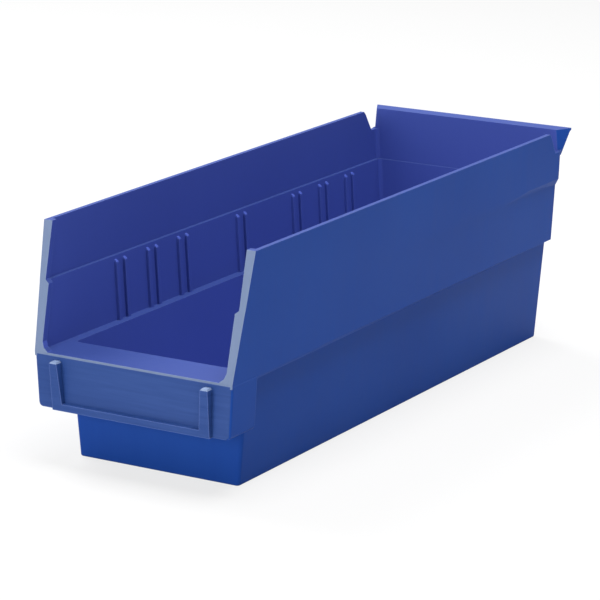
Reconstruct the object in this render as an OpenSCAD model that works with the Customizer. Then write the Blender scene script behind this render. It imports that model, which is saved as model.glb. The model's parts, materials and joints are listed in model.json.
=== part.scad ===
// Open-front shelf bin: a drafted tub with stepped walls, a hopper lip with
// a label holder, and a rear lip that hooks over a rail. Millimetres, +Z up,
// +Y to the rear, +X to the right seen from the front.

/* [Overall size] */
// Length from the face of the label holder to the tip of the rear lip
bin_length = 295.3; // [220:0.1:480]
// Width across the ends of the rear lip
bin_width = 104.6; // [85:0.1:220]
// Height of the walls and of the rear lip
bin_height = 101.6; // [92:0.1:160]

/* [Walls] */
// Thickness of the walls, the lip and the label panel
wall_t = 2; // [1.4:0.1:2.6]
// Thickness of the floor
floor_t = 2.4; // [1.6:0.1:3.5]
// Draft of the side walls below the rim, in degrees
lower_draft = 5.2; // [2:0.1:7]
// Draft of the side walls between the rim and the upper ledge, in degrees
mid_draft = 3.2; // [1:0.1:4.5]
// Draft of the side walls above the upper ledge, in degrees
upper_draft = 2.2; // [0.5:0.1:3]
// Draft of the front and rear walls, in degrees
end_draft = 0.5; // [0.2:0.1:2]
// Height of the rim, which is the top of the hopper lip and of the side ledges
rim_z = 49; // [42:0.1:56]
// Step outwards of the side walls at the rim
rim_step = 3.35; // [2.2:0.05:5]
// Height of the upper ledge inside
upper_ledge_z = 77; // [70:0.1:82]
// Step outwards of the side walls at the upper ledge
upper_step = 1.5; // [0.8:0.05:1.8]
// Step outwards of the rear wall at each ledge
rear_step = 0.4; // [0.2:0.05:1]

/* [Front] */
// Distance from the lip corner back to the front edge of the foot
foot_setback = 18.3; // [12:0.1:26]
// Distance by which the front edges of the side walls lean back at the top
front_lean = 12.6; // [6:0.1:30]
// Depth of the thickened front edge, front to back
flange_depth = 3; // [2:0.1:6]
// Width of the thickened front edge at the rim
flange_width = 3.3; // [2.6:0.1:5]
// Widening of the body towards the front between the rim and the upper ledge
mid_spread = 1.2; // [0:0.1:1.4]
// Widening of the body towards the front at the top
front_spread = 0.5; // [0:0.1:1]
// Draft of the nose below the lip, in degrees
nose_draft = 3.4; // [1:0.1:6]
// Height of the underside of the nose above the floor
nose_z = 25.8; // [20:0.1:32]

/* [Label holder] */
// Distance by which the label rails stand out from the panel
rail_depth = 3.6; // [2:0.1:6]
// Width of the corner posts beside the label holder
post_width = 9; // [6:0.1:14]
// Width of the upright label rails at their foot
rail_width = 4.2; // [2.5:0.1:6]
// Height of the bottom label rail
rail_height = 3; // [2:0.1:5]
// Gap from the tops of the upright rails to the lip
rail_drop = 2.2; // [0.5:0.1:5]

/* [Rear lip] */
// Reach of the rear lip behind the rear wall
lip_reach = 6; // [3:0.1:12]
// Height of the rear lip from its root to its tip
lip_rise = 12; // [8:0.1:18]
// Thickness of the tip of the rear lip
lip_tip = 1; // [0.6:0.1:2]
// Flare of each end of the rear lip past the side wall
lip_side_flare = 1.5; // [0:0.1:4]
// Inset of the front corner at each end of the rear lip, from which the end slants out to the tip
lip_end_inset = 5.3; // [0:0.1:8]
// Depth of the notches between the side walls and the rear wall
notch_depth = 10; // [5:0.1:12]
// Length of the flat bottom of each notch
notch_flat = 4.6; // [3:0.1:9]
// Length by which each notch widens towards the top
notch_lean = 5.2; // [2:0.1:9]

/* [Divider slots] */
// Spacing of the divider slots
slot_pitch = 24; // [18:0.5:40]
// Distance from the lip corner to the first divider slot
first_slot = 61.5; // [50:0.5:90]
// Gap between the two ribs of a divider slot
slot_gap = 4.4; // [3.5:0.1:8]
// Width of each rib
rib_width = 2; // [1.2:0.1:4]
// Distance by which each rib stands out from the wall
rib_depth = 1.5; // [0.8:0.1:2.5]
// Drop of the tops of the ribs below the upper ledge
rib_drop = 1.6; // [0:0.1:6]

/* [Hidden] */
BLUE = "#2b479e";
EDGE_BLUE = "#8f9fd0";
CHAMFER_X = 0.65;                            // corner of the wall above the rim
CHAMFER_Z = 2;
STEP_RISE = 3.2;                             // height of the sloped step above the upper ledge
STEP_DROP = 1.8;
FOOT_FLARE = 3.1;                            // foot of the front flange, run in along the lip
FOOT_RISE = 4.5;
FLANGE_EXTRA = 1;                            // width that the front flange gains towards the top
POST_TAPER = 0.6;                            // lean of the label rails' outer sides
TOP_CHAMFER = 1.4;                           // cut corner at the rear top end of a side wall
FAR = 2 * (bin_length + bin_width);

rim_under = rim_z - wall_t;
lip_y = -bin_length / 2 + rail_depth;
tip_y = bin_length / 2;
rear_y = tip_y - lip_reach;                  // outer face of the rear wall at its top
notch_z = bin_height - notch_depth;

half_top = bin_width / 2 - lip_side_flare;
step_top = upper_ledge_z - STEP_DROP + STEP_RISE;
step_bottom = upper_ledge_z - STEP_DROP;
half_step = half_top - (bin_height - step_top) * tan(upper_draft);
half_mid = half_step - upper_step;
half_rim = half_mid - (step_bottom - rim_z) * tan(mid_draft);
half_under = half_rim - rim_step;
half_front_top = half_top + front_spread;
half_lip = half_rim + mid_spread;

// Outer half widths as straight lines over the height
function upper_x(z) = half_top - (bin_height - z) * tan(upper_draft);
function mid_x(z) = half_mid - (step_bottom - z) * tan(mid_draft);
function lower_x(z) = half_under - (rim_under - z) * tan(lower_draft);
function nose_x(z) = half_lip - (rim_z - z) * tan(nose_draft);

// Lengthways places as straight lines over the height
function front_edge_y(z) = lip_y + front_lean * (z - rim_z) / (bin_height - rim_z);
function foot_front_y(z) = lip_y + foot_setback - z * tan(end_draft);
function rear_face_y(z, tier) = rear_y - (bin_height - z) * tan(end_draft) * 0.5 - (2 - tier) * rear_step;

// Slot places along the bin: every pitch but the fourth and the sixth
SLOTS = [for (i = [0, 1, 2, 4, 6, 7, 8]) lip_y + first_slot + i * slot_pitch];
last_slot_y = rear_y - 3 * wall_t - slot_gap - rib_width;

// An outline in X and Z, carried from y0 to y1
module along_y(y0, y1, outline) {
    translate([0, y1, 0]) rotate([90, 0, 0]) linear_extrude(y1 - y0) polygon(outline);
}

// An outline in Y and Z, carried across the whole width
module across_x(outline) {
    translate([-FAR / 2, 0, 0]) rotate([90, 0, 90]) linear_extrude(FAR) polygon(outline);
}

// Swings an outer face out towards the front by the given amount over the bin's length
module swung(spread) {
    translate([0, rear_y, 0]) rotate([0, 0, atan(spread / bin_length)]) translate([0, -rear_y, 0])
        children();
}

// Everything inward of an outer face, given by its edge in X and Z from bottom to top
module inside(edge) {
    last = len(edge) - 1;
    along_y(-FAR / 2, FAR / 2, concat([[0, edge[0][1]]], edge, [[0, edge[last][1]]]));
}

module left() {
    mirror([1, 0, 0]) children();
}

// The tub's outer faces at the front and the rear, below the rim
function tub_side(z0, z1) = [[foot_front_y(z0), z0], [rear_face_y(z0, 0), z0],
    [rear_face_y(z1, 0), z1], [foot_front_y(z1), z1]];

// The space between the side walls, one band at a time, as the right half of its outline
LOWER_SPACE = [[lower_x(floor_t) - wall_t, floor_t], [half_under - wall_t, rim_under]];
RIM_SPACE = concat(LOWER_SPACE, [[half_under - wall_t, rim_z]]);
MID_SPACE = [[half_rim - wall_t, rim_z], [mid_x(upper_ledge_z) - wall_t, upper_ledge_z]];
UPPER_SPACE = [[upper_x(upper_ledge_z) - wall_t, upper_ledge_z], [upper_x(notch_z) - wall_t, notch_z]];
function both_sides(outline) = concat(outline,
    [for (i = [len(outline) - 1 : -1 : 0]) [-outline[i][0], outline[i][1]]]);

module floor_panel() {
    color(BLUE) intersection() {
        across_x(tub_side(0, floor_t));
        along_y(-FAR / 2, FAR / 2, both_sides([[lower_x(0), 0], [lower_x(floor_t), floor_t]]));
    }
}

module lower_wall() {
    color(BLUE) intersection() {
        across_x(tub_side(floor_t, rim_under));
        along_y(-FAR / 2, FAR / 2, [[lower_x(floor_t) - wall_t, floor_t], [lower_x(floor_t), floor_t],
            [half_under, rim_under], [half_under - wall_t, rim_under]]);
    }
}

module ledge() {
    color(BLUE) intersection() {
        along_y(foot_front_y(rim_under) + wall_t, rear_face_y(rim_under, 0),
            [[half_under - wall_t, rim_under], [FAR / 2, rim_under],
            [FAR / 2, rim_z], [half_under - wall_t, rim_z]]);
        swung(mid_spread) inside([[half_under, rim_under], [half_rim - CHAMFER_X, rim_z]]);
    }
}

// The side walls above the rim end at the front flange and at the rear wall's outer face
function flange_back(z) = front_edge_y(z) + flange_depth;

module mid_wall() {
    color(BLUE) intersection() {
        along_y(lip_y, rear_face_y(rim_z, 1), [[half_rim - wall_t, rim_z], [FAR / 2, rim_z],
            [FAR / 2, step_bottom], [half_mid - wall_t, step_bottom]]);
        swung(mid_spread) inside([[half_rim - CHAMFER_X, rim_z],
            [mid_x(rim_z + CHAMFER_Z), rim_z + CHAMFER_Z], [half_mid, step_bottom]]);
        across_x([[flange_back(rim_z), rim_z], [tip_y, rim_z], [tip_y, step_bottom],
            [flange_back(step_bottom), step_bottom]]);
    }
}

module upper_wall() {
    notch_front = rear_face_y(bin_height, 2) - wall_t - notch_flat;
    step_slope = upper_step / STEP_RISE;
    color(BLUE) intersection() {
        along_y(lip_y, rear_face_y(upper_ledge_z, 2), [[half_mid - wall_t, step_bottom],
            [FAR / 2, step_bottom], [FAR / 2, bin_height], [half_top - wall_t, bin_height],
            [upper_x(upper_ledge_z) - wall_t, upper_ledge_z], [mid_x(upper_ledge_z) - wall_t, upper_ledge_z]]);
        swung(mid_spread) inside([[half_mid, step_bottom],
            [half_mid + step_slope * (bin_height - step_bottom), bin_height]]);
        swung(front_spread / 2) inside([[upper_x(step_bottom), step_bottom], [half_top, bin_height]]);
        across_x([[flange_back(step_bottom), step_bottom], [tip_y, step_bottom], [tip_y, notch_z],
            [notch_front, notch_z], [notch_front - notch_lean, bin_height - TOP_CHAMFER],
            [notch_front - notch_lean - TOP_CHAMFER, bin_height],
            [flange_back(bin_height), bin_height]]);
    }
}

module front_flange() {
    inner_foot = half_lip - flange_width;
    inner_ledge = inner_foot + (upper_ledge_z - rim_z) * tan(mid_draft) * 0.2;
    inner_top = half_front_top - flange_width - FLANGE_EXTRA;
    color(EDGE_BLUE) intersection() {
        along_y(lip_y, lip_y + front_lean + flange_depth,
            [[inner_foot - FOOT_FLARE, rim_z], [half_lip, rim_z], [half_front_top, bin_height],
            [inner_top, bin_height], [inner_top, upper_ledge_z + 1],
            [inner_ledge, upper_ledge_z - 0.5], [inner_foot, rim_z + FOOT_RISE],
            [inner_foot - FOOT_FLARE * 0.3, rim_z + FOOT_RISE * 0.4]]);
        across_x([[front_edge_y(rim_z), rim_z], [flange_back(rim_z), rim_z],
            [flange_back(bin_height), bin_height], [front_edge_y(bin_height), bin_height]]);
    }
}

module divider_ribs() {
    function rib_x(z) = mid_x(z) - wall_t;
    top = upper_ledge_z - rib_drop;
    color(BLUE) for (y = SLOTS) if (y < last_slot_y) for (side = [-1, 1])
        along_y(y + side * (slot_gap + rib_width) / 2 - rib_width / 2,
            y + side * (slot_gap + rib_width) / 2 + rib_width / 2,
            [[rib_x(rim_z) - rib_depth, rim_z], [rib_x(rim_z), rim_z],
            [rib_x(top), top], [rib_x(top) - rib_depth, top]]);
}

// Post beside the label panel, the cheek behind it, and the return to the tub
module nose_cheek() {
    tub_front = foot_front_y(rim_under);
    color(BLUE) {
        along_y(lip_y, lip_y + wall_t, [[half_lip - post_width, nose_z], [nose_x(nose_z), nose_z],
            [nose_x(rim_under), rim_under], [half_lip - post_width, rim_under]]);
        along_y(lip_y, tub_front + wall_t, [[nose_x(nose_z) - wall_t, nose_z], [nose_x(nose_z), nose_z],
            [nose_x(rim_under), rim_under], [nose_x(rim_under) - wall_t, rim_under]]);
        along_y(tub_front, tub_front + wall_t, [[lower_x(nose_z), nose_z], [nose_x(nose_z), nose_z],
            [nose_x(rim_under), rim_under], [lower_x(rim_under), rim_under]]);
    }
}

module front_wall() {
    color(BLUE) intersection() {
        across_x([[foot_front_y(floor_t), floor_t], [foot_front_y(floor_t) + wall_t, floor_t],
            [foot_front_y(rim_under) + wall_t, rim_under], [foot_front_y(rim_under), rim_under]]);
        along_y(-FAR / 2, FAR / 2, both_sides(LOWER_SPACE));
    }
}

module hopper_lip() {
    color(EDGE_BLUE) along_y(lip_y, foot_front_y(rim_under) + wall_t,
        both_sides([[nose_x(rim_under), rim_under], [half_lip, rim_z]]));
}

module label_panel() {
    half = half_lip - post_width;
    color(BLUE) along_y(lip_y, lip_y + wall_t, both_sides([[half, nose_z], [half, rim_under]]));
}

module label_rail() {
    outer = half_lip - post_width;
    top = rim_z - rail_drop;
    color(BLUE) along_y(lip_y - rail_depth, lip_y, [[outer - POST_TAPER - rail_width, nose_z],
        [outer - POST_TAPER, nose_z], [outer, top], [outer - rail_width + POST_TAPER, top]]);
}

module label_rail_bottom() {
    outer = half_lip - post_width - POST_TAPER - rail_width;
    rise = 2 * POST_TAPER * rail_height / (rim_z - rail_drop - nose_z);
    color(BLUE) along_y(lip_y - rail_depth, lip_y,
        both_sides([[outer, nose_z], [outer + rise, nose_z + rail_height]]));
}

// A band of the rear wall between the side walls, stepped out over its first few millimetres
module rear_band(z0, z1, tier0, tier1, space) {
    color(BLUE) intersection() {
        across_x([[rear_face_y(z0, tier1) - wall_t, z0], [rear_face_y(z0, tier0), z0],
            [rear_face_y(z0 + wall_t, tier1), z0 + wall_t], [rear_face_y(z1, tier1), z1],
            [rear_face_y(z1, tier1) - wall_t, z1]]);
        along_y(-FAR / 2, FAR / 2, both_sides(space));
    }
}

// The plan of the rear lip, with the front corner of each end set in
module lip_plan() {
    half = bin_width / 2;
    linear_extrude(FAR) polygon(both_sides([[half - lip_end_inset, rear_y - 2 * wall_t], [half, tip_y]]));
}

module rear_top_rail() {
    color(BLUE) intersection() {
        lip_plan();
        across_x([[rear_face_y(notch_z, 2) - wall_t, notch_z], [rear_face_y(notch_z, 2), notch_z],
            [rear_face_y(bin_height, 2), bin_height], [rear_face_y(bin_height, 2) - wall_t, bin_height]]);
        along_y(-FAR / 2, FAR / 2, both_sides([[upper_x(notch_z), notch_z], [half_top, bin_height]]));
    }
}

module rear_hang_lip() {
    root_z = bin_height - lip_rise;
    bead_z = bin_height - 1.6 * lip_tip;
    color(EDGE_BLUE) intersection() {
        lip_plan();
        across_x([[rear_face_y(root_z, 2), root_z], [tip_y - lip_tip, bead_z], [tip_y, bin_height - lip_tip],
            [tip_y, bin_height], [rear_face_y(bin_height, 2), bin_height]]);
        along_y(-FAR / 2, FAR / 2, both_sides([[upper_x(root_z), root_z], [bin_width / 2, bin_height]]));
    }
}

floor_panel();
left() lower_wall();  // left_lower_wall
lower_wall();  // right_lower_wall
left() ledge();  // left_ledge
ledge();  // right_ledge
left() mid_wall();  // left_mid_wall
mid_wall();  // right_mid_wall
left() upper_wall();  // left_upper_wall
upper_wall();  // right_upper_wall
left() front_flange();  // left_front_flange
front_flange();  // right_front_flange
left() divider_ribs();  // left_divider_ribs
divider_ribs();  // right_divider_ribs
left() nose_cheek();  // left_nose_cheek
nose_cheek();  // right_nose_cheek
front_wall();
hopper_lip();
label_panel();
left() label_rail();  // label_rail_left
label_rail();  // label_rail_right
label_rail_bottom();
rear_band(floor_t, rim_z, 0, 0, RIM_SPACE);  // rear_lower_wall
rear_band(rim_z, upper_ledge_z, 0, 1, MID_SPACE);  // rear_mid_wall
rear_band(upper_ledge_z, notch_z, 1, 2, UPPER_SPACE);  // rear_upper_wall
rear_top_rail();
rear_hang_lip();
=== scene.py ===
# Shelf bin: one blue polypropylene moulding with a hopper front, a label holder
# and a rear hanging lip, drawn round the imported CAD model. Sizes are in mm, apart
# from those of the floor, the lamps and the camera's range, which are in metres.
import json
import math

import bmesh
import bpy
from mathutils import Matrix, Vector

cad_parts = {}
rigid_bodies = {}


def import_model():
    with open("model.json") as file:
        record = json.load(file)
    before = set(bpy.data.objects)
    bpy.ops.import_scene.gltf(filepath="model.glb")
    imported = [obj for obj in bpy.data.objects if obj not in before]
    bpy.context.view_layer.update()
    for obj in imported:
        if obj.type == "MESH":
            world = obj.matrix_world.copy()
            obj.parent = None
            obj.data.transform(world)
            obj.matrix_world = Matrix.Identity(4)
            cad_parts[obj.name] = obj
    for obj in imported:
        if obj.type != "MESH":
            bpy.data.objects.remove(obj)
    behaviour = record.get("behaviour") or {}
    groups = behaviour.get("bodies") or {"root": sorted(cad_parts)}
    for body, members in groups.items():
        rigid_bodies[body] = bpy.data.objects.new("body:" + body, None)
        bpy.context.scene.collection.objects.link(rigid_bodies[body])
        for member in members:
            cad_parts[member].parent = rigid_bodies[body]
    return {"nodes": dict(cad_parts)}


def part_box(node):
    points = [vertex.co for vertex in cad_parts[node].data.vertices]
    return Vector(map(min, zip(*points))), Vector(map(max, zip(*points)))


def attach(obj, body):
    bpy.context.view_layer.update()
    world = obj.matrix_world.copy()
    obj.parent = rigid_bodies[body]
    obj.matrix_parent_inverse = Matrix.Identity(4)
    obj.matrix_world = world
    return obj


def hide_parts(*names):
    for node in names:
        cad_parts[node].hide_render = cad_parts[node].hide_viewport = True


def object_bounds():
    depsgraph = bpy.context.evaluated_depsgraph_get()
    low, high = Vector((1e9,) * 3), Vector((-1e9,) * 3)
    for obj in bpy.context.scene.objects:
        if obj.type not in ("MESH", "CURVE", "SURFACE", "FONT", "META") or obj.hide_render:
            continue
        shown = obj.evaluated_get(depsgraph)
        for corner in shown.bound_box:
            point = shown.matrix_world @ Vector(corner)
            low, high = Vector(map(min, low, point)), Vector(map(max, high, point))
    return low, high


mm = 0.001
for leftover in list(bpy.data.objects):
    bpy.data.objects.remove(leftover)
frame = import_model()
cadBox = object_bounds()
print("frame loaded:", len(frame["nodes"]), "CAD nodes")


# Small helpers: everything is picked in code, then worked on with the usual tools

def pick(*objs):
    if bpy.context.object and bpy.context.object.mode != "OBJECT":
        bpy.ops.object.mode_set(mode="OBJECT")
    bpy.ops.object.select_all(action="DESELECT")
    for o in objs:
        o.select_set(True)
    if objs:
        bpy.context.view_layer.objects.active = objs[0]


def selectWhere(piece, kind, test):
    # kind is VERT, EDGE or FACE; the test is given the element and its middle in mm
    pick(piece)
    bpy.ops.object.mode_set(mode="EDIT")
    bpy.ops.mesh.select_mode(type=kind)
    bpy.ops.mesh.select_all(action="DESELECT")
    mesh = bmesh.from_edit_mesh(piece.data)
    found = 0
    for item in {"VERT": mesh.verts, "EDGE": mesh.edges, "FACE": mesh.faces}[kind]:
        ends = [item] if kind == "VERT" else list(item.verts)
        middle = sum((v.co for v in ends), Vector()) / len(ends) / mm
        if test(item, middle):
            item.select_set(True)
            found += 1
    bmesh.update_edit_mesh(piece.data)
    return found


def raiseSections(name, sections, corner=0, cornerSteps=6):
    # A flat face is drawn at the first section, then extruded from one section to the next.
    # A section is (z, x0, x1, y0, y1); the form ends up closed.
    z, x0, x1, y0, y1 = sections[0]
    pick()
    middle = ((x0 + x1) / 2 * mm, (y0 + y1) / 2 * mm, z * mm)
    bpy.ops.mesh.primitive_plane_add(size=1, location=middle)
    piece = bpy.context.object
    piece.name = piece.data.name = name
    piece.scale = ((x1 - x0) * mm, (y1 - y0) * mm, 1)
    bpy.ops.object.transform_apply(location=True, rotation=True, scale=True)
    bpy.ops.object.mode_set(mode="EDIT")
    bpy.ops.mesh.select_mode(type="FACE")
    bpy.ops.mesh.select_all(action="SELECT")
    if corner:
        bpy.ops.mesh.bevel(offset=corner * mm, segments=cornerSteps, affect="VERTICES")
        bpy.ops.mesh.select_all(action="SELECT")
    for before, after in zip(sections, sections[1:]):
        middles = [Vector(((s[1] + s[2]) / 2, (s[3] + s[4]) / 2, s[0])) * mm for s in (before, after)]
        growX = (after[2] - after[1]) / (before[2] - before[1])
        growY = (after[4] - after[3]) / (before[4] - before[3])
        bpy.ops.mesh.extrude_region_move(TRANSFORM_OT_translate={"value": middles[1] - middles[0]})
        bpy.ops.transform.resize(value=(growX, growY, 1), center_override=middles[1])
    bpy.ops.mesh.select_all(action="SELECT")
    bpy.ops.mesh.normals_make_consistent(inside=False)
    bpy.ops.object.mode_set(mode="OBJECT")
    return piece


def triangulate(piece):
    pick(piece)
    bpy.ops.object.mode_set(mode="EDIT")
    bpy.ops.mesh.select_all(action="SELECT")
    bpy.ops.mesh.quads_convert_to_tris(quad_method="BEAUTY", ngon_method="BEAUTY")
    bpy.ops.object.mode_set(mode="OBJECT")


def combine(piece, other, how):
    # how is UNION or DIFFERENCE; the other piece is used up
    triangulate(other)
    triangulate(piece)
    modifier = piece.modifiers.new(how, "BOOLEAN")
    modifier.operation, modifier.solver, modifier.object = how, "EXACT", other
    bpy.ops.object.modifier_apply(modifier=modifier.name)
    bpy.data.objects.remove(other)


def roundSharp(piece, width, steps, angle=30, test=None):
    # Rounds every edge that turns by more than the angle, concave ones too
    limit = math.radians(angle)

    def isSharp(edge, at):
        turns = len(edge.link_faces) == 2 and edge.calc_face_angle(0) > limit
        return turns and (test is None or test(edge, at))

    count = selectWhere(piece, "EDGE", isSharp)
    bpy.ops.mesh.bevel(offset=width * mm, segments=steps, profile=0.5, affect="EDGES", clamp_overlap=True)
    bpy.ops.object.mode_set(mode="OBJECT")
    return count


def tidyMesh(piece, gap=0.01, flatAngle=0.3):
    pick(piece)
    bpy.ops.object.mode_set(mode="EDIT")
    bpy.ops.mesh.select_all(action="SELECT")
    bpy.ops.mesh.remove_doubles(threshold=gap * mm)
    bpy.ops.mesh.dissolve_limited(angle_limit=math.radians(flatAngle))
    bpy.ops.mesh.normals_make_consistent(inside=False)
    bpy.ops.object.mode_set(mode="OBJECT")


def smooth(piece, angle=32):
    # Broad faces keep their own direction, and the small rounded edges take the turn
    pick(piece)
    bpy.ops.object.shade_smooth_by_angle(angle=math.radians(angle))
    modifier = piece.modifiers.new("faceWeights", "WEIGHTED_NORMAL")
    modifier.weight, modifier.keep_sharp = 100, True
    bpy.ops.object.modifier_apply(modifier=modifier.name)


# Camera, on a circle round its target; azimuth 0 looks at the front of the bin

view = {"azimuth": 30.994, "elevation": 15.026, "roll": 0.174, "target": (7.123, -24.05, 50.86),
        "distance": 1352.59, "lens": 186.71, "sensor": 36,
        "nearest": 0.05, "farthest": 20}        # metres


def placeCamera():
    a, e, r = (math.radians(view[k]) for k in ("azimuth", "elevation", "roll"))
    back = Vector((math.sin(a) * math.cos(e), -math.cos(a) * math.cos(e), math.sin(e)))
    right = Vector((0, 0, 1)).cross(back).normalized()
    up = back.cross(right)
    rolledRight = right * math.cos(r) + up * math.sin(r)
    rolledUp = up * math.cos(r) - right * math.sin(r)
    turn = Matrix((rolledRight, rolledUp, back)).transposed().to_4x4()
    where = (Vector(view["target"]) + back * view["distance"]) * mm
    pick()
    bpy.ops.object.camera_add(location=where, rotation=turn.to_euler())
    camera = bpy.context.object
    camera.data.lens = view["lens"]
    camera.data.sensor_width = view["sensor"]
    camera.data.clip_start, camera.data.clip_end = view["nearest"], view["farthest"]
    bpy.context.scene.camera = camera


placeCamera()
print("camera placed")


# The tub: up its outside in steps, over the top edge, and down its inside

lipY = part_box("hopper_lip")[0].y / mm       # front face of the lip
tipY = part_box("rear_hang_lip")[1].y / mm    # tip of the rear lip
topZ = cadBox[1].z / mm
pastTop = topZ + 2                          # forms that are cut off flat at the top reach up to here

tub = {"wall": 2.0, "floor": 2.4, "corner": 1.7, "footRadius": 0.7, "footSteps": 5,
       "foot": 39.32, "under": 43.59, "rim": 46.85, "midTop": 48.41, "stepTop": 49.91, "top": 50.8,
       "underZ": 47.0, "rimZ": 49.0, "rimEdgeZ": 48.7, "stepZ": 75.2, "stepTopZ": 78.4, "ledgeZ": 77.0,
       "footY": lipY + 18.3, "rearY": tipY - 6.0, "rearStep": 0.4,
       "farFront": -158.0,        # the walls run on past the mouth, which is cut out later
       "spare": 2.4,              # and past the top, which is cut flat
       "lowSlope": 0.091, "midSlope": 0.0559, "topSlope": 0.0384,      # side walls, mm out per mm up
       "rearSlope": 0.00436, "footSlope": 0.00873,                     # rear and foot's front
       "underOut": 0.1, "underBack": 0.05,     # a hair past the foot, so that no face is left without area
       "crossCuts": range(-130, 140, 30),
       # how far the walls stand out at the far front, as (from z, to z, outwards)
       "spreads": [(46.9, 47.1, 4.4), (47.5, 49.5, 1.27), (75, 75.5, 1.31), (76.5, 77.5, 1.31),
                   (100, 110, 0.53)],
       "spreadBefore": -140}


def rearAt(z, tier):
    # Rear face at a height: tier 0 is the foot, 1 the middle and 2 the top
    return tub["rearY"] - (topZ - z) * tub["rearSlope"] - (2 - tier) * tub["rearStep"]


def footAt(z):
    return tub["footY"] - z * tub["footSlope"]


def makeTub():
    t = tub
    w = t["wall"]
    drop = topZ + t["spare"]
    front, frontIn = t["farFront"], t["farFront"] + w
    topHalf = t["top"] + t["spare"] * t["topSlope"]
    midTopIn = t["midTop"] + (t["ledgeZ"] - t["stepZ"]) * t["midSlope"] - w
    topLowIn = t["top"] - (topZ - t["ledgeZ"]) * t["topSlope"] - w
    floorIn = t["foot"] + t["floor"] * t["lowSlope"] - w
    rings = [
        (0, t["foot"], footAt(0), rearAt(0, 0)),
        (t["underZ"], t["under"], footAt(t["underZ"]), rearAt(t["underZ"], 0)),
        (t["underZ"], t["under"] + t["underOut"], front, rearAt(t["underZ"], 0) + t["underBack"]),
        (t["rimEdgeZ"], t["rim"], front, rearAt(t["rimZ"], 1)),
        (t["stepZ"], t["midTop"], front, rearAt(t["stepZ"], 1)),
        (t["stepTopZ"], t["stepTop"], front, rearAt(t["stepTopZ"], 2)),
        (drop, topHalf, front, rearAt(drop, 2)),
        (drop, topHalf - w, frontIn, rearAt(drop, 2) - w),
        (t["ledgeZ"], topLowIn, frontIn, rearAt(t["ledgeZ"], 2) - w),
        (t["ledgeZ"], midTopIn, frontIn, rearAt(t["ledgeZ"], 1) - w),
        (t["rimZ"], t["rim"] - w, frontIn, rearAt(t["rimZ"], 1) - w),
        (t["rimZ"], t["under"] - w, footAt(t["rimZ"]) + w, rearAt(t["underZ"], 0) - w),
        (t["floor"], floorIn, footAt(0) + w, rearAt(0, 0) - w)]
    piece = raiseSections("tub", [(z, -half, half, y0, y1) for z, half, y0, y1 in rings], t["corner"])
    # The walls above the rim widen a little towards the front
    for low, high, spread in t["spreads"]:
        for side in (-1, 1):
            selectWhere(piece, "VERT", lambda v, at: low < at.z < high and at.x * side > 0
                        and at.y < t["spreadBefore"])
            bpy.ops.transform.translate(value=(side * spread * mm, 0, 0))
            bpy.ops.object.mode_set(mode="OBJECT")
    # Cross cuts, so that the ledges that run out towards the front stay even
    for y in t["crossCuts"]:
        pick(piece)
        bpy.ops.object.mode_set(mode="EDIT")
        bpy.ops.mesh.select_all(action="SELECT")
        bpy.ops.mesh.bisect(plane_co=(0, y * mm, 0), plane_no=(0, 1, 0))
        bpy.ops.object.mode_set(mode="OBJECT")
    # Radius round the foot
    selectWhere(piece, "EDGE", lambda e, at: all(abs(v.co.z) < 1e-6 for v in e.verts))
    bpy.ops.mesh.bevel(offset=t["footRadius"] * mm, segments=t["footSteps"], profile=0.5, affect="EDGES")
    bpy.ops.object.mode_set(mode="OBJECT")
    return piece


body = makeTub()
print("tub raised:", len(body.data.polygons), "faces")


# Thickened front edges of the side walls, with a foot that runs in along the lip

flange = {"depth": 3.0, "forward": 6.0, "lean": 12.6,
          # height, inner and outer half width
          "profile": [(48.2, 41.6, 47.6), (49.3, 41.9, 47.7), (50.6, 43.75, 47.8), (53.0, 44.75, 47.9),
                      (76.4, 45.2, 49.3), (77.8, 46.95, 49.4), (pastTop, 47.05, 50.9)]}


def frontEdgeAt(z):
    return lipY + flange["lean"] * (z - tub["rimZ"]) / (topZ - tub["rimZ"])


def makeFlange(side):
    sections = []
    for z, inner, outer in flange["profile"]:
        x0, x1 = sorted((side * inner, side * outer))
        y = frontEdgeAt(z)
        sections.append((z, x0, x1, y - flange["forward"], y + flange["depth"]))
    return raiseSections("flange", sections)


for side in (-1, 1):
    combine(body, makeFlange(side), "UNION")
print("front flanges joined")


# Rear hanging lip: a solid wedge that flares back, and out at its ends

hangLip = {"into": 1.2,           # how far it reaches into the rear wall
           # height, half width, set back from the tip
           "profile": [(89.6, 50.0, 6.05), (100.0, 51.9, 1.0), (100.7, 52.15, 0), (pastTop, 52.3, 0)]}


def makeHangLip():
    front = tub["rearY"] - hangLip["into"]
    return raiseSections("hangLip", [(z, -half, half, front, tipY - back)
                                     for z, half, back in hangLip["profile"]])


combine(body, makeHangLip(), "UNION")
print("rear lip joined")


# Openings cut through: the hopper mouth, the flat top and the two notches at the rear

cuts = {"half": 90, "far": 200, "mouthFrom": 20, "mouthPast": 8, "aboveTo": 120,
        "notchX": 46.3, "notchOut": 60, "notchGap": 0.12,
        # height and length of a notch
        "notchProfile": [(91.6, 4.6), (100.2, 9.8), (103.0, 12.6)]}


def cutOpenings():
    half, far = cuts["half"], cuts["far"]
    past = topZ + cuts["mouthPast"]
    mouth = [(z, -half, half, -far, y) for z, y in
             ((cuts["mouthFrom"], lipY), (tub["rimZ"], lipY), (past, frontEdgeAt(past)))]
    combine(body, raiseSections("mouth", mouth), "DIFFERENCE")
    above = [(z, -half, half, -far, far) for z in (topZ, cuts["aboveTo"])]
    combine(body, raiseSections("above", above), "DIFFERENCE")
    inner = tub["rearY"] - tub["wall"] - cuts["notchGap"]
    for side in (-1, 1):
        x0, x1 = sorted((side * cuts["notchX"], side * cuts["notchOut"]))
        notch = [(z, x0, x1, inner - length, inner) for z, length in cuts["notchProfile"]]
        combine(body, raiseSections("notch", notch), "DIFFERENCE")


cutOpenings()


# The lip's ends slant out towards the tip, in plan from the start point to the tip's corner

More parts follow.
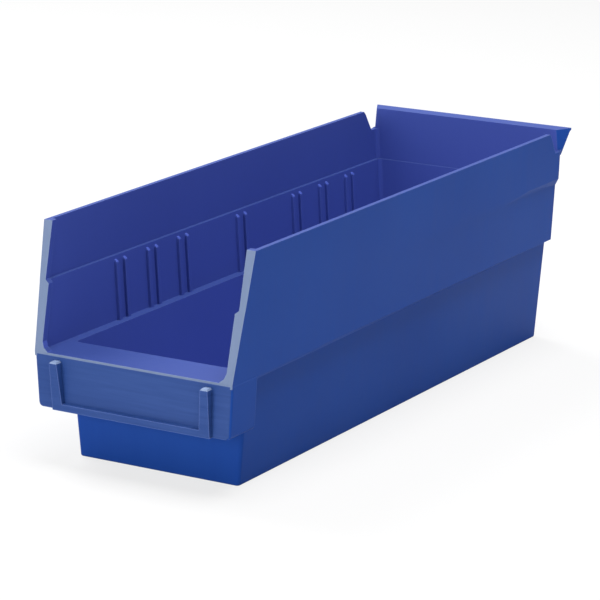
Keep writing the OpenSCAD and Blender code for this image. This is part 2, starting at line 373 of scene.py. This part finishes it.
lipEnd = {"startX": 47.9, "startY": 139.4, "lowZ": 91.9, "lowOut": 1.0, "topOut": 0.001, "topPast": 3,
          "far": 15.0, "from": -1.5, "to": 30}


def slantLipEnds():
    e = lipEnd
    turn = math.atan2(hangLip["profile"][-1][1] - e["startX"], tipY - e["startY"])
    for side in (-1, 1):
        low = sorted((side * e["lowOut"], side * e["far"]))
        high = sorted((side * e["topOut"], side * e["far"]))
        cutter = raiseSections("lipEnd", [(e["lowZ"], *low, e["from"], e["to"]),
                                          (topZ + e["topPast"], *high, e["from"], e["to"])])
        cutter.rotation_euler = (0, 0, -side * turn)
        cutter.location = (side * e["startX"] * mm, e["startY"] * mm, 0)
        pick(cutter)
        bpy.ops.object.transform_apply(location=True, rotation=True, scale=True)
        combine(body, cutter, "DIFFERENCE")


slantLipEnds()
tidyMesh(body)
print("openings cut:", len(body.data.polygons), "faces")

bodyEdges = {"radius": 0.35, "steps": 2, "angle": 20, "fromZ": 3}       # the foot has its own radius
count = roundSharp(body, bodyEdges["radius"], bodyEdges["steps"], bodyEdges["angle"],
                   lambda e, at: at.z > bodyEdges["fromZ"])
print("rounded", count, "edges:", len(body.data.polygons), "faces")
smooth(body)


# The nose under the lip: a drafted box open below, with rounded posts and lower corners

nose = {"wall": 2.0, "corner": 1.3, "depth": 19.55, "rear": 18.15, "proud": 0.03,
        "radius": 0.4, "steps": 3, "angle": 40,
        # height and half width, down the outside and then up the inside
        "outside": [(48.1, 48.12), (47.0, 48.02), (27.2, 46.88), (26.4, 46.6), (25.8, 46.0), (25.6, 45.4)],
        "inside": [(25.6, 43.4), (28.2, 44.8), (46.95, 46.0)]}


def makeNose():
    n = nose
    y0, y1 = lipY - n["proud"], lipY + n["depth"]
    sections = [(z, -half, half, y0, y1) for z, half in n["outside"]]
    sections += [(z, -half, half, y0 + n["wall"], lipY + n["rear"]) for z, half in n["inside"]]
    piece = raiseSections("labelPanel", sections, n["corner"])
    roundSharp(piece, n["radius"], n["steps"], n["angle"])
    smooth(piece)
    return piece


noseBox = makeNose()
print("nose made")


# Label holder: two upright rails and a bottom rail, standing out from the panel

label = {"topProud": 3.6, "lowProud": 1.9, "sunk": 0.5, "bottomZ": 25.6, "topZ": 46.5, "railHeight": 3.0,
         "bottomHalf": 37, "low": (33.2, 38.3), "high": (34.9, 38.5), "cap": (35.5, 37.9), "capRise": 0.7,
         "radius": 0.45, "steps": 3, "angle": 40}


def makeLabelFrame():
    z0, z1 = label["bottomZ"], label["topZ"]
    zs, zc = z0 + label["railHeight"], z1 - label["capRise"]
    half = label["bottomHalf"]
    lean = (label["topProud"] - label["lowProud"]) / (z1 - z0)
    back = lipY + label["sunk"]

    def faceAt(z):
        return lipY - label["lowProud"] - lean * (z - z0)

    piece = raiseSections("labelFrame", [(z0, -half, half, faceAt(z0), back),
                                         (zs, -half, half, faceAt(zs), back)])
    for side in (-1, 1):
        low, high, cap = (sorted((side * label[k][0], side * label[k][1])) for k in ("low", "high", "cap"))
        rail = raiseSections("rail", [(z0, *low, faceAt(z0), back), (zc, *high, faceAt(z1), back),
                                      (z1, *cap, faceAt(z1) + label["capRise"], back)])
        combine(piece, rail, "UNION")
    tidyMesh(piece)
    roundSharp(piece, label["radius"], label["steps"], label["angle"])
    smooth(piece)
    return piece


labelFrame = makeLabelFrame()
print("label frame made")


# Divider slots: pairs of short ribs between the rim and the ledge, one modelled and then copied

rib = {"width": 2.0, "depth": 1.3, "sunk": 0.4, "footDrop": 0.2, "topDrop": 2.7,
       "capRise": 1.1, "capDepth": 0.2, "capInset": 0.3, "radius": 0.3, "steps": 2, "angle": 15,
       "pitch": 24.0, "first": 61.5, "gap": 4.4, "slots": (0, 1, 2, 4, 6, 7, 8),
       "wallLean": 0.0595, "wallSpread": 1.29}


def innerWallAt(z, y):
    spread = rib["wallSpread"] * (tub["rearY"] - y) / (tub["rearY"] - tub["farFront"])
    return tub["rim"] - tub["wall"] + (z - tub["rimZ"]) * rib["wallLean"] + spread


def makeFirstRib(side, y, z0, z1):
    def across(z, depth):
        inner = innerWallAt(z, y)
        return sorted((side * (inner - depth), side * (inner + rib["sunk"])))

    low, top = across(z0, rib["depth"]), across(z1, rib["depth"])
    cap = across(z1, rib["capDepth"])
    y0, y1 = y - rib["width"] / 2, y + rib["width"] / 2
    piece = raiseSections("rib", [(z0, *low, y0, y1), (z1, *top, y0, y1),
                                  (z1 + rib["capRise"], *cap, y0 + rib["capInset"], y1 - rib["capInset"])])
    roundSharp(piece, rib["radius"], rib["steps"], rib["angle"])
    return piece


def makeRibs(side):
    z0, z1 = tub["rimZ"] - rib["footDrop"], tub["ledgeZ"] - rib["topDrop"]
    toEach = (rib["gap"] + rib["width"]) / 2
    middles = [lipY + rib["first"] + slotIndex * rib["pitch"] for slotIndex in rib["slots"]]
    places = [middle + way * toEach for middle in middles for way in (-1, 1)]
    first = makeFirstRib(side, places[0], z0, z1)
    made = [first]
    for y in places[1:]:
        pick(first)
        bpy.ops.object.duplicate()
        move = side * (innerWallAt(z0, y) - innerWallAt(z0, places[0]))
        bpy.ops.transform.translate(value=(move * mm, (y - places[0]) * mm, 0))
        bpy.ops.object.transform_apply(location=True, rotation=True, scale=True)
        made.append(bpy.context.object)
    pick(*made)
    bpy.ops.object.join()
    piece = bpy.context.object
    piece.name = piece.data.name = "dividerRibsLeft" if side < 0 else "dividerRibsRight"
    smooth(piece)
    return piece


ribsLeft, ribsRight = makeRibs(-1), makeRibs(1)
print("divider ribs made")


# Materials: shared groups put out masks and heights, and each plastic keeps its own shader

def newGroup(name, inputs, outputs):
    group = bpy.data.node_groups.new(name, "ShaderNodeTree")
    for socketName, kind, value in inputs:
        socket = group.interface.new_socket(name=socketName, in_out="INPUT", socket_type=kind)
        socket.default_value = value
    for socketName in outputs:
        group.interface.new_socket(name=socketName, in_out="OUTPUT", socket_type="NodeSocketFloat")
    return group, group.nodes.new("NodeGroupInput"), group.nodes.new("NodeGroupOutput")


def mathNode(tree, operation, first, second, clamp=False):
    node = tree.nodes.new("ShaderNodeMath")
    node.operation, node.use_clamp = operation, clamp
    for socket, value in zip(node.inputs, (first, second)):
        if isinstance(value, (int, float)):
            socket.default_value = value
        else:
            tree.links.new(value, socket)
    return node.outputs[0]


def makeEdgeGroup():
    # Painted edge highlight mask: 1 along exposed edges, 0 on broad faces: the rounded normal against the
    # plain one
    group, given, out = newGroup("paintedEdgeHighlight", [("Radius", "NodeSocketFloat", 0.0006),
                                                ("Gain", "NodeSocketFloat", 3.0)], ["Mask"])
    bevel = group.nodes.new("ShaderNodeBevel")
    bevel.samples = 6
    group.links.new(given.outputs["Radius"], bevel.inputs["Radius"])
    plain = group.nodes.new("ShaderNodeNewGeometry")
    dot = group.nodes.new("ShaderNodeVectorMath")
    dot.operation = "DOT_PRODUCT"
    group.links.new(bevel.outputs["Normal"], dot.inputs[0])
    group.links.new(plain.outputs["Normal"], dot.inputs[1])
    away = mathNode(group, "SUBTRACT", 1.0, dot.outputs["Value"])
    mask = mathNode(group, "MULTIPLY", away, given.outputs["Gain"], clamp=True)
    group.links.new(mask, out.inputs["Mask"])
    return group


lineShare = 0.45        # of the skin's height; the grain gives the rest


def makeSkinGroup():
    # Tool lines drawn along one direction, soft blotches, and the fine grain of the moulded skin
    group, given, out = newGroup("mouldedSkin", [("Stretch", "NodeSocketVector", (1, 1, 0.06)),
                                                 ("Lines", "NodeSocketFloat", 420.0),
                                                 ("Blotches", "NodeSocketFloat", 14.0),
                                                 ("Grain", "NodeSocketFloat", 1900.0)],
                                 ["Lines", "Blotches", "Height"])
    place = group.nodes.new("ShaderNodeTexCoord")
    stretch = group.nodes.new("ShaderNodeVectorMath")
    stretch.operation = "MULTIPLY"
    group.links.new(place.outputs["Object"], stretch.inputs[0])
    group.links.new(given.outputs["Stretch"], stretch.inputs[1])

    def noise(vector, scale, detail, roughness):
        node = group.nodes.new("ShaderNodeTexNoise")
        node.inputs["Detail"].default_value = detail
        node.inputs["Roughness"].default_value = roughness
        group.links.new(vector, node.inputs["Vector"])
        group.links.new(given.outputs[scale], node.inputs["Scale"])
        return node.outputs["Fac"]

    lines = noise(stretch.outputs[0], "Lines", 3, 0.6)
    blotches = noise(place.outputs["Object"], "Blotches", 2, 0.5)
    grain = noise(place.outputs["Object"], "Grain", 2, 0.5)
    lineHeight = mathNode(group, "MULTIPLY", lines, lineShare)
    grainHeight = mathNode(group, "MULTIPLY", grain, 1 - lineShare)
    group.links.new(lines, out.inputs["Lines"])
    group.links.new(blotches, out.inputs["Blotches"])
    group.links.new(mathNode(group, "ADD", lineHeight, grainHeight), out.inputs["Height"])
    return group


paintedEdgeHighlight, mouldedSkin = makeEdgeGroup(), makeSkinGroup()

# Each plastic runs from deep to light over its skin, and towards the edge colour along its edges, which is a
# painted highlight
plastics = {
    "bluePlastic": {"deep": (0.005, 0.036, 0.215), "light": (0.012, 0.060, 0.290),
                    "edge": (0.12, 0.19, 0.46), "edgeHighlightMix": 0.6, "stretch": (1, 1, 0.05),
                    "lines": 330.0, "lineMix": 0.35, "roughness": 0.5, "specular": 0.06, "bump": 0.05},
    # Painted light: a lighter copy of the blue that lifts the shade inside the tub
    "bluePlasticInsidePaintedLight": {"deep": (0.034, 0.057, 0.260), "light": (0.043, 0.071, 0.310),
                          "edge": (0.10, 0.15, 0.42), "edgeHighlightMix": 0.4, "stretch": (1, 1, 0.05),
                          "lines": 330.0, "lineMix": 0.35, "roughness": 0.5, "specular": 0.12, "bump": 0.05},
    # Painted shade: a darker copy of the blue for the faces that look up, above z 40
    "ledgePaintedShadePlastic": {"deep": (0.020, 0.036, 0.150), "light": (0.028, 0.048, 0.185),
                     "edge": (0.10, 0.15, 0.36), "edgeHighlightMix": 0.4, "stretch": (1, 1, 0.05),
                     "lines": 330.0, "lineMix": 0.35, "roughness": 0.55, "specular": 0.06, "bump": 0.05},
    "labelPanel": {"deep": (0.004, 0.026, 0.135), "light": (0.036, 0.080, 0.255),
                   "edge": (0.16, 0.23, 0.52), "edgeHighlightMix": 0.6, "stretch": (0.05, 0.05, 1),
                   "lines": 620.0, "lineMix": 0.6, "roughness": 0.42, "specular": 0.12, "bump": 0.08},
    # Painted highlight: a pale blue for the flange fronts, the lip's front edge and the rail caps
    "paintedHighlightEdge": {"deep": (0.105, 0.148, 0.255), "light": (0.140, 0.188, 0.300),
                 "edge": (0.25, 0.31, 0.45), "edgeHighlightMix": 0.3, "stretch": (1, 0.2, 0.06),
                 "lines": 520.0, "lineMix": 0.7, "roughness": 0.5, "specular": 0.2, "bump": 0.06}}
lineRoughness = 0.14        # how much the tool lines vary the roughness
bumpHeight = 0.3            # mm


def paint(name):
    p = plastics[name]
    material = bpy.data.materials.new(name)
    material.use_nodes = True
    tree = material.node_tree
    shader = tree.nodes["Principled BSDF"]
    shader.inputs["Specular IOR Level"].default_value = p["specular"]
    skin = tree.nodes.new("ShaderNodeGroup")
    skin.node_tree = mouldedSkin
    skin.inputs["Stretch"].default_value = p["stretch"]
    skin.inputs["Lines"].default_value = p["lines"]
    edges = tree.nodes.new("ShaderNodeGroup")
    edges.node_tree = paintedEdgeHighlight

    def blend(factor, first, second):
        node = tree.nodes.new("ShaderNodeMix")
        node.data_type = "RGBA"
        tree.links.new(factor, node.inputs["Factor"])
        for socket, value in ((node.inputs[6], first), (node.inputs[7], second)):
            if isinstance(value, tuple):
                socket.default_value = (*value, 1)
            else:
                tree.links.new(value, socket)
        return node.outputs[2]

    lines = mathNode(tree, "MULTIPLY", skin.outputs["Lines"], p["lineMix"])
    blotches = mathNode(tree, "MULTIPLY", skin.outputs["Blotches"], 1 - p["lineMix"])
    skinColour = blend(mathNode(tree, "ADD", lines, blotches, clamp=True), p["deep"], p["light"])
    # Painted highlight: along the rounded edges the colour turns towards the pale edge colour
    edgeHighlight = mathNode(tree, "MULTIPLY", edges.outputs["Mask"], p["edgeHighlightMix"])
    tree.links.new(blend(edgeHighlight, skinColour, p["edge"]), shader.inputs["Base Color"])
    varied = mathNode(tree, "MULTIPLY", skin.outputs["Lines"], lineRoughness)
    rough = mathNode(tree, "ADD", varied, p["roughness"] - lineRoughness / 2)
    tree.links.new(rough, shader.inputs["Roughness"])
    bump = tree.nodes.new("ShaderNodeBump")
    bump.inputs["Strength"].default_value = p["bump"]
    bump.inputs["Distance"].default_value = bumpHeight * mm
    tree.links.new(skin.outputs["Height"], bump.inputs["Height"])
    tree.links.new(bump.outputs["Normal"], shader.inputs["Normal"])
    return material


bluePlastic, panelPlastic, paintedHighlightPlastic = paint("bluePlastic"), paint("labelPanel"), paint("paintedHighlightEdge")
insidePaintedLightPlastic, ledgePaintedShadePlastic = paint("bluePlasticInsidePaintedLight"), paint("ledgePaintedShadePlastic")
for piece, used in ((body, (bluePlastic, paintedHighlightPlastic, insidePaintedLightPlastic, ledgePaintedShadePlastic)),
                    (noseBox, (bluePlastic, panelPlastic)),
                    (labelFrame, (panelPlastic, paintedHighlightPlastic)),
                    (ribsLeft, (insidePaintedLightPlastic,)), (ribsRight, (insidePaintedLightPlastic,))):
    for material in used:
        piece.data.materials.append(material)


def assignWhere(piece, material, test):
    found = selectWhere(piece, "FACE", test)
    piece.active_material_index = list(piece.data.materials).index(material)
    bpy.ops.object.material_slot_assign()
    bpy.ops.object.mode_set(mode="OBJECT")
    print("faces of", material.name + ":", found)


# Where one tone gives way to the next: the painted light inside, the painted shade on the ledges and the
# painted highlights
zones = {"insideHalf": 50, "insideFront": 0.3, "insideRear": 0.5, "insideFrom": 2, "upToLedge": 78,
         "centreY": -5, "alongShare": 0.3, "wallHalf": 49.6, "rearFrom": 130, "ledgesFrom": 40,
         "lipFrom": 46.9, "lipTo": 49.2, "frontReach": 0.6, "capsFrom": 45, "panelReach": 0.3,
         # how far a face has to turn, as the part of its normal that points that way
         "up": 0.7, "notDown": -0.3, "inwards": 0.25, "capUp": 0.3,
         "panelFront": -0.9, "flangeFront": -0.4, "lipFront": -0.1}


def isInside(face, at):
    # Faces that look in over the floor: its own top, and the walls' inner sides round it
    toMiddle = Vector((-at.x, (zones["centreY"] - at.y) * zones["alongShare"], 0)).normalized()
    alongside = lipY + zones["insideFront"] < at.y < tub["rearY"] - zones["insideRear"]
    within = abs(at.x) < zones["insideHalf"] and alongside and at.z > zones["insideFrom"]
    onFloor = face.normal.z > zones["up"] and at.z < zones["upToLedge"]
    facesIn = face.normal.z > zones["notDown"] and face.normal.dot(toMiddle) > zones["inwards"]
    clearOfFlare = abs(at.x) < zones["wallHalf"] or at.y > zones["rearFrom"]
    return within and (onFloor or (facesIn and clearOfFlare))


def isLedge(face, at):
    return face.normal.z > zones["up"] and at.z > zones["ledgesFrom"]


def isRailCap(face, at):
    return face.normal.z > zones["capUp"] and at.z > zones["capsFrom"]


def isPanelFront(face, at):
    return face.normal.y < zones["panelFront"] and abs(at.y - lipY) < zones["panelReach"]


def isFlangeFront(face, at):
    atEdge = abs(at.y - frontEdgeAt(at.z)) < zones["frontReach"]
    return face.normal.y < zones["flangeFront"] and at.z > zones["lipTo"] and atEdge


def isLipFront(face, at):
    atLip = zones["lipFrom"] < at.z < zones["lipTo"] and at.y < lipY + zones["frontReach"]
    return face.normal.y < zones["lipFront"] and atLip


# Painted light: the floor, the inner walls and the ribs take the lighter inside blue against the shade there
assignWhere(body, insidePaintedLightPlastic, isInside)
# Painted shade: the ledges, the shelf and the wall tops take the darker blue
assignWhere(body, ledgePaintedShadePlastic, isLedge)
# Painted highlight: the rail caps take the pale plastic
assignWhere(labelFrame, paintedHighlightPlastic, isRailCap)
assignWhere(noseBox, panelPlastic, isPanelFront)
# Painted highlight: the flange fronts and the lip's front edge take the pale plastic
assignWhere(body, paintedHighlightPlastic, isFlangeFront)
assignWhere(body, paintedHighlightPlastic, isLipFront)
print("plastics painted")


# Each piece rides on the one body and takes the place of its CAD nodes

noseNodes = ["label_panel", "left_nose_cheek", "right_nose_cheek"]
railNodes = ["label_rail_left", "label_rail_right", "label_rail_bottom"]
ribNodes = ["left_divider_ribs", "right_divider_ribs"]
bodyNodes = sorted(set(frame["nodes"]) - set(railNodes) - set(ribNodes) - set(noseNodes))
for piece, stoodFor in ((body, bodyNodes), (noseBox, noseNodes), (labelFrame, railNodes),
                        (ribsLeft, ribNodes[:1]), (ribsRight, ribNodes[1:])):
    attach(piece, "root")
    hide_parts(*stoodFor)


# Floor, world and lamps

stage = {"floorSize": 8.0,      # metres
         "floorColour": (0.55, 0.55, 0.55, 1), "floorSeen": (0.11, 0.11, 0.11, 1),
         "floorGlow": 0.77, "skyForLight": 0.28}


def makeFloor():
    pick()
    bpy.ops.mesh.primitive_plane_add(size=stage["floorSize"], location=(0, 0, 0))
    floor = bpy.context.object
    floor.name = "floor"
    material = bpy.data.materials.new("paleFloor")
    material.use_nodes = True
    nodes, links = material.node_tree.nodes, material.node_tree.links
    nodes.clear()
    rays = nodes.new("ShaderNodeLightPath")
    tint = nodes.new("ShaderNodeMix")
    tint.data_type = "RGBA"
    tint.inputs[6].default_value = stage["floorColour"]
    tint.inputs[7].default_value = stage["floorSeen"]
    links.new(rays.outputs["Is Camera Ray"], tint.inputs["Factor"])
    diffuse = nodes.new("ShaderNodeBsdfDiffuse")
    links.new(tint.outputs[2], diffuse.inputs["Color"])
    glow = nodes.new("ShaderNodeEmission")
    strength = mathNode(material.node_tree, "MULTIPLY", rays.outputs["Is Camera Ray"], stage["floorGlow"])
    links.new(strength, glow.inputs["Strength"])
    both = nodes.new("ShaderNodeAddShader")
    links.new(diffuse.outputs[0], both.inputs[0])
    links.new(glow.outputs[0], both.inputs[1])
    out = nodes.new("ShaderNodeOutputMaterial")
    links.new(both.outputs[0], out.inputs["Surface"])
    floor.data.materials.append(material)


def makeSky():
    # White where it is seen, mirrored or looked through, and dimmer as a light
    world = bpy.data.worlds.new("studio")
    bpy.context.scene.world = world
    world.use_nodes = True
    nodes, links = world.node_tree.nodes, world.node_tree.links
    nodes.clear()
    rays = nodes.new("ShaderNodeLightPath").outputs
    mirrored = mathNode(world.node_tree, "MAXIMUM", rays["Is Camera Ray"], rays["Is Glossy Ray"])
    shown = mathNode(world.node_tree, "MAXIMUM", mirrored, rays["Is Transmission Ray"])
    mix = nodes.new("ShaderNodeMixShader")
    links.new(shown, mix.inputs["Fac"])
    for socket, strength in ((mix.inputs[1], stage["skyForLight"]), (mix.inputs[2], 1)):
        light = nodes.new("ShaderNodeBackground")
        light.inputs["Color"].default_value = (1, 1, 1, 1)
        light.inputs["Strength"].default_value = strength
        links.new(light.outputs[0], socket)
    out = nodes.new("ShaderNodeOutputWorld")
    links.new(mix.outputs[0], out.inputs["Surface"])


# Square area lamps: place and aim in metres, size in metres, power in watts
lamps = {"above": {"place": (0.24, -0.05, 1.3), "aim": (0, 0, 0.03), "size": 0.8, "power": 29},
         "left": {"place": (-0.9, 0.35, 1.1), "aim": (0, 0, 0.03), "size": 0.8, "power": 26},
         "front": {"place": (-0.3, -1.7, 0.35), "aim": (0, 0, 0.05), "size": 0.9, "power": 21}}


def addLamp(name):
    lamp = lamps[name]
    direction = Vector(lamp["aim"]) - Vector(lamp["place"])
    turn = direction.to_track_quat("-Z", "Y").to_euler()
    pick()
    bpy.ops.object.light_add(type="AREA", location=lamp["place"], rotation=turn)
    light = bpy.context.object
    light.name = name
    light.data.shape, light.data.size, light.data.energy = "SQUARE", lamp["size"], lamp["power"]


makeFloor()
makeSky()
for name in lamps:
    addLamp(name)
bpy.context.scene.view_settings.view_transform = "Standard"
print("stage and lamps set")
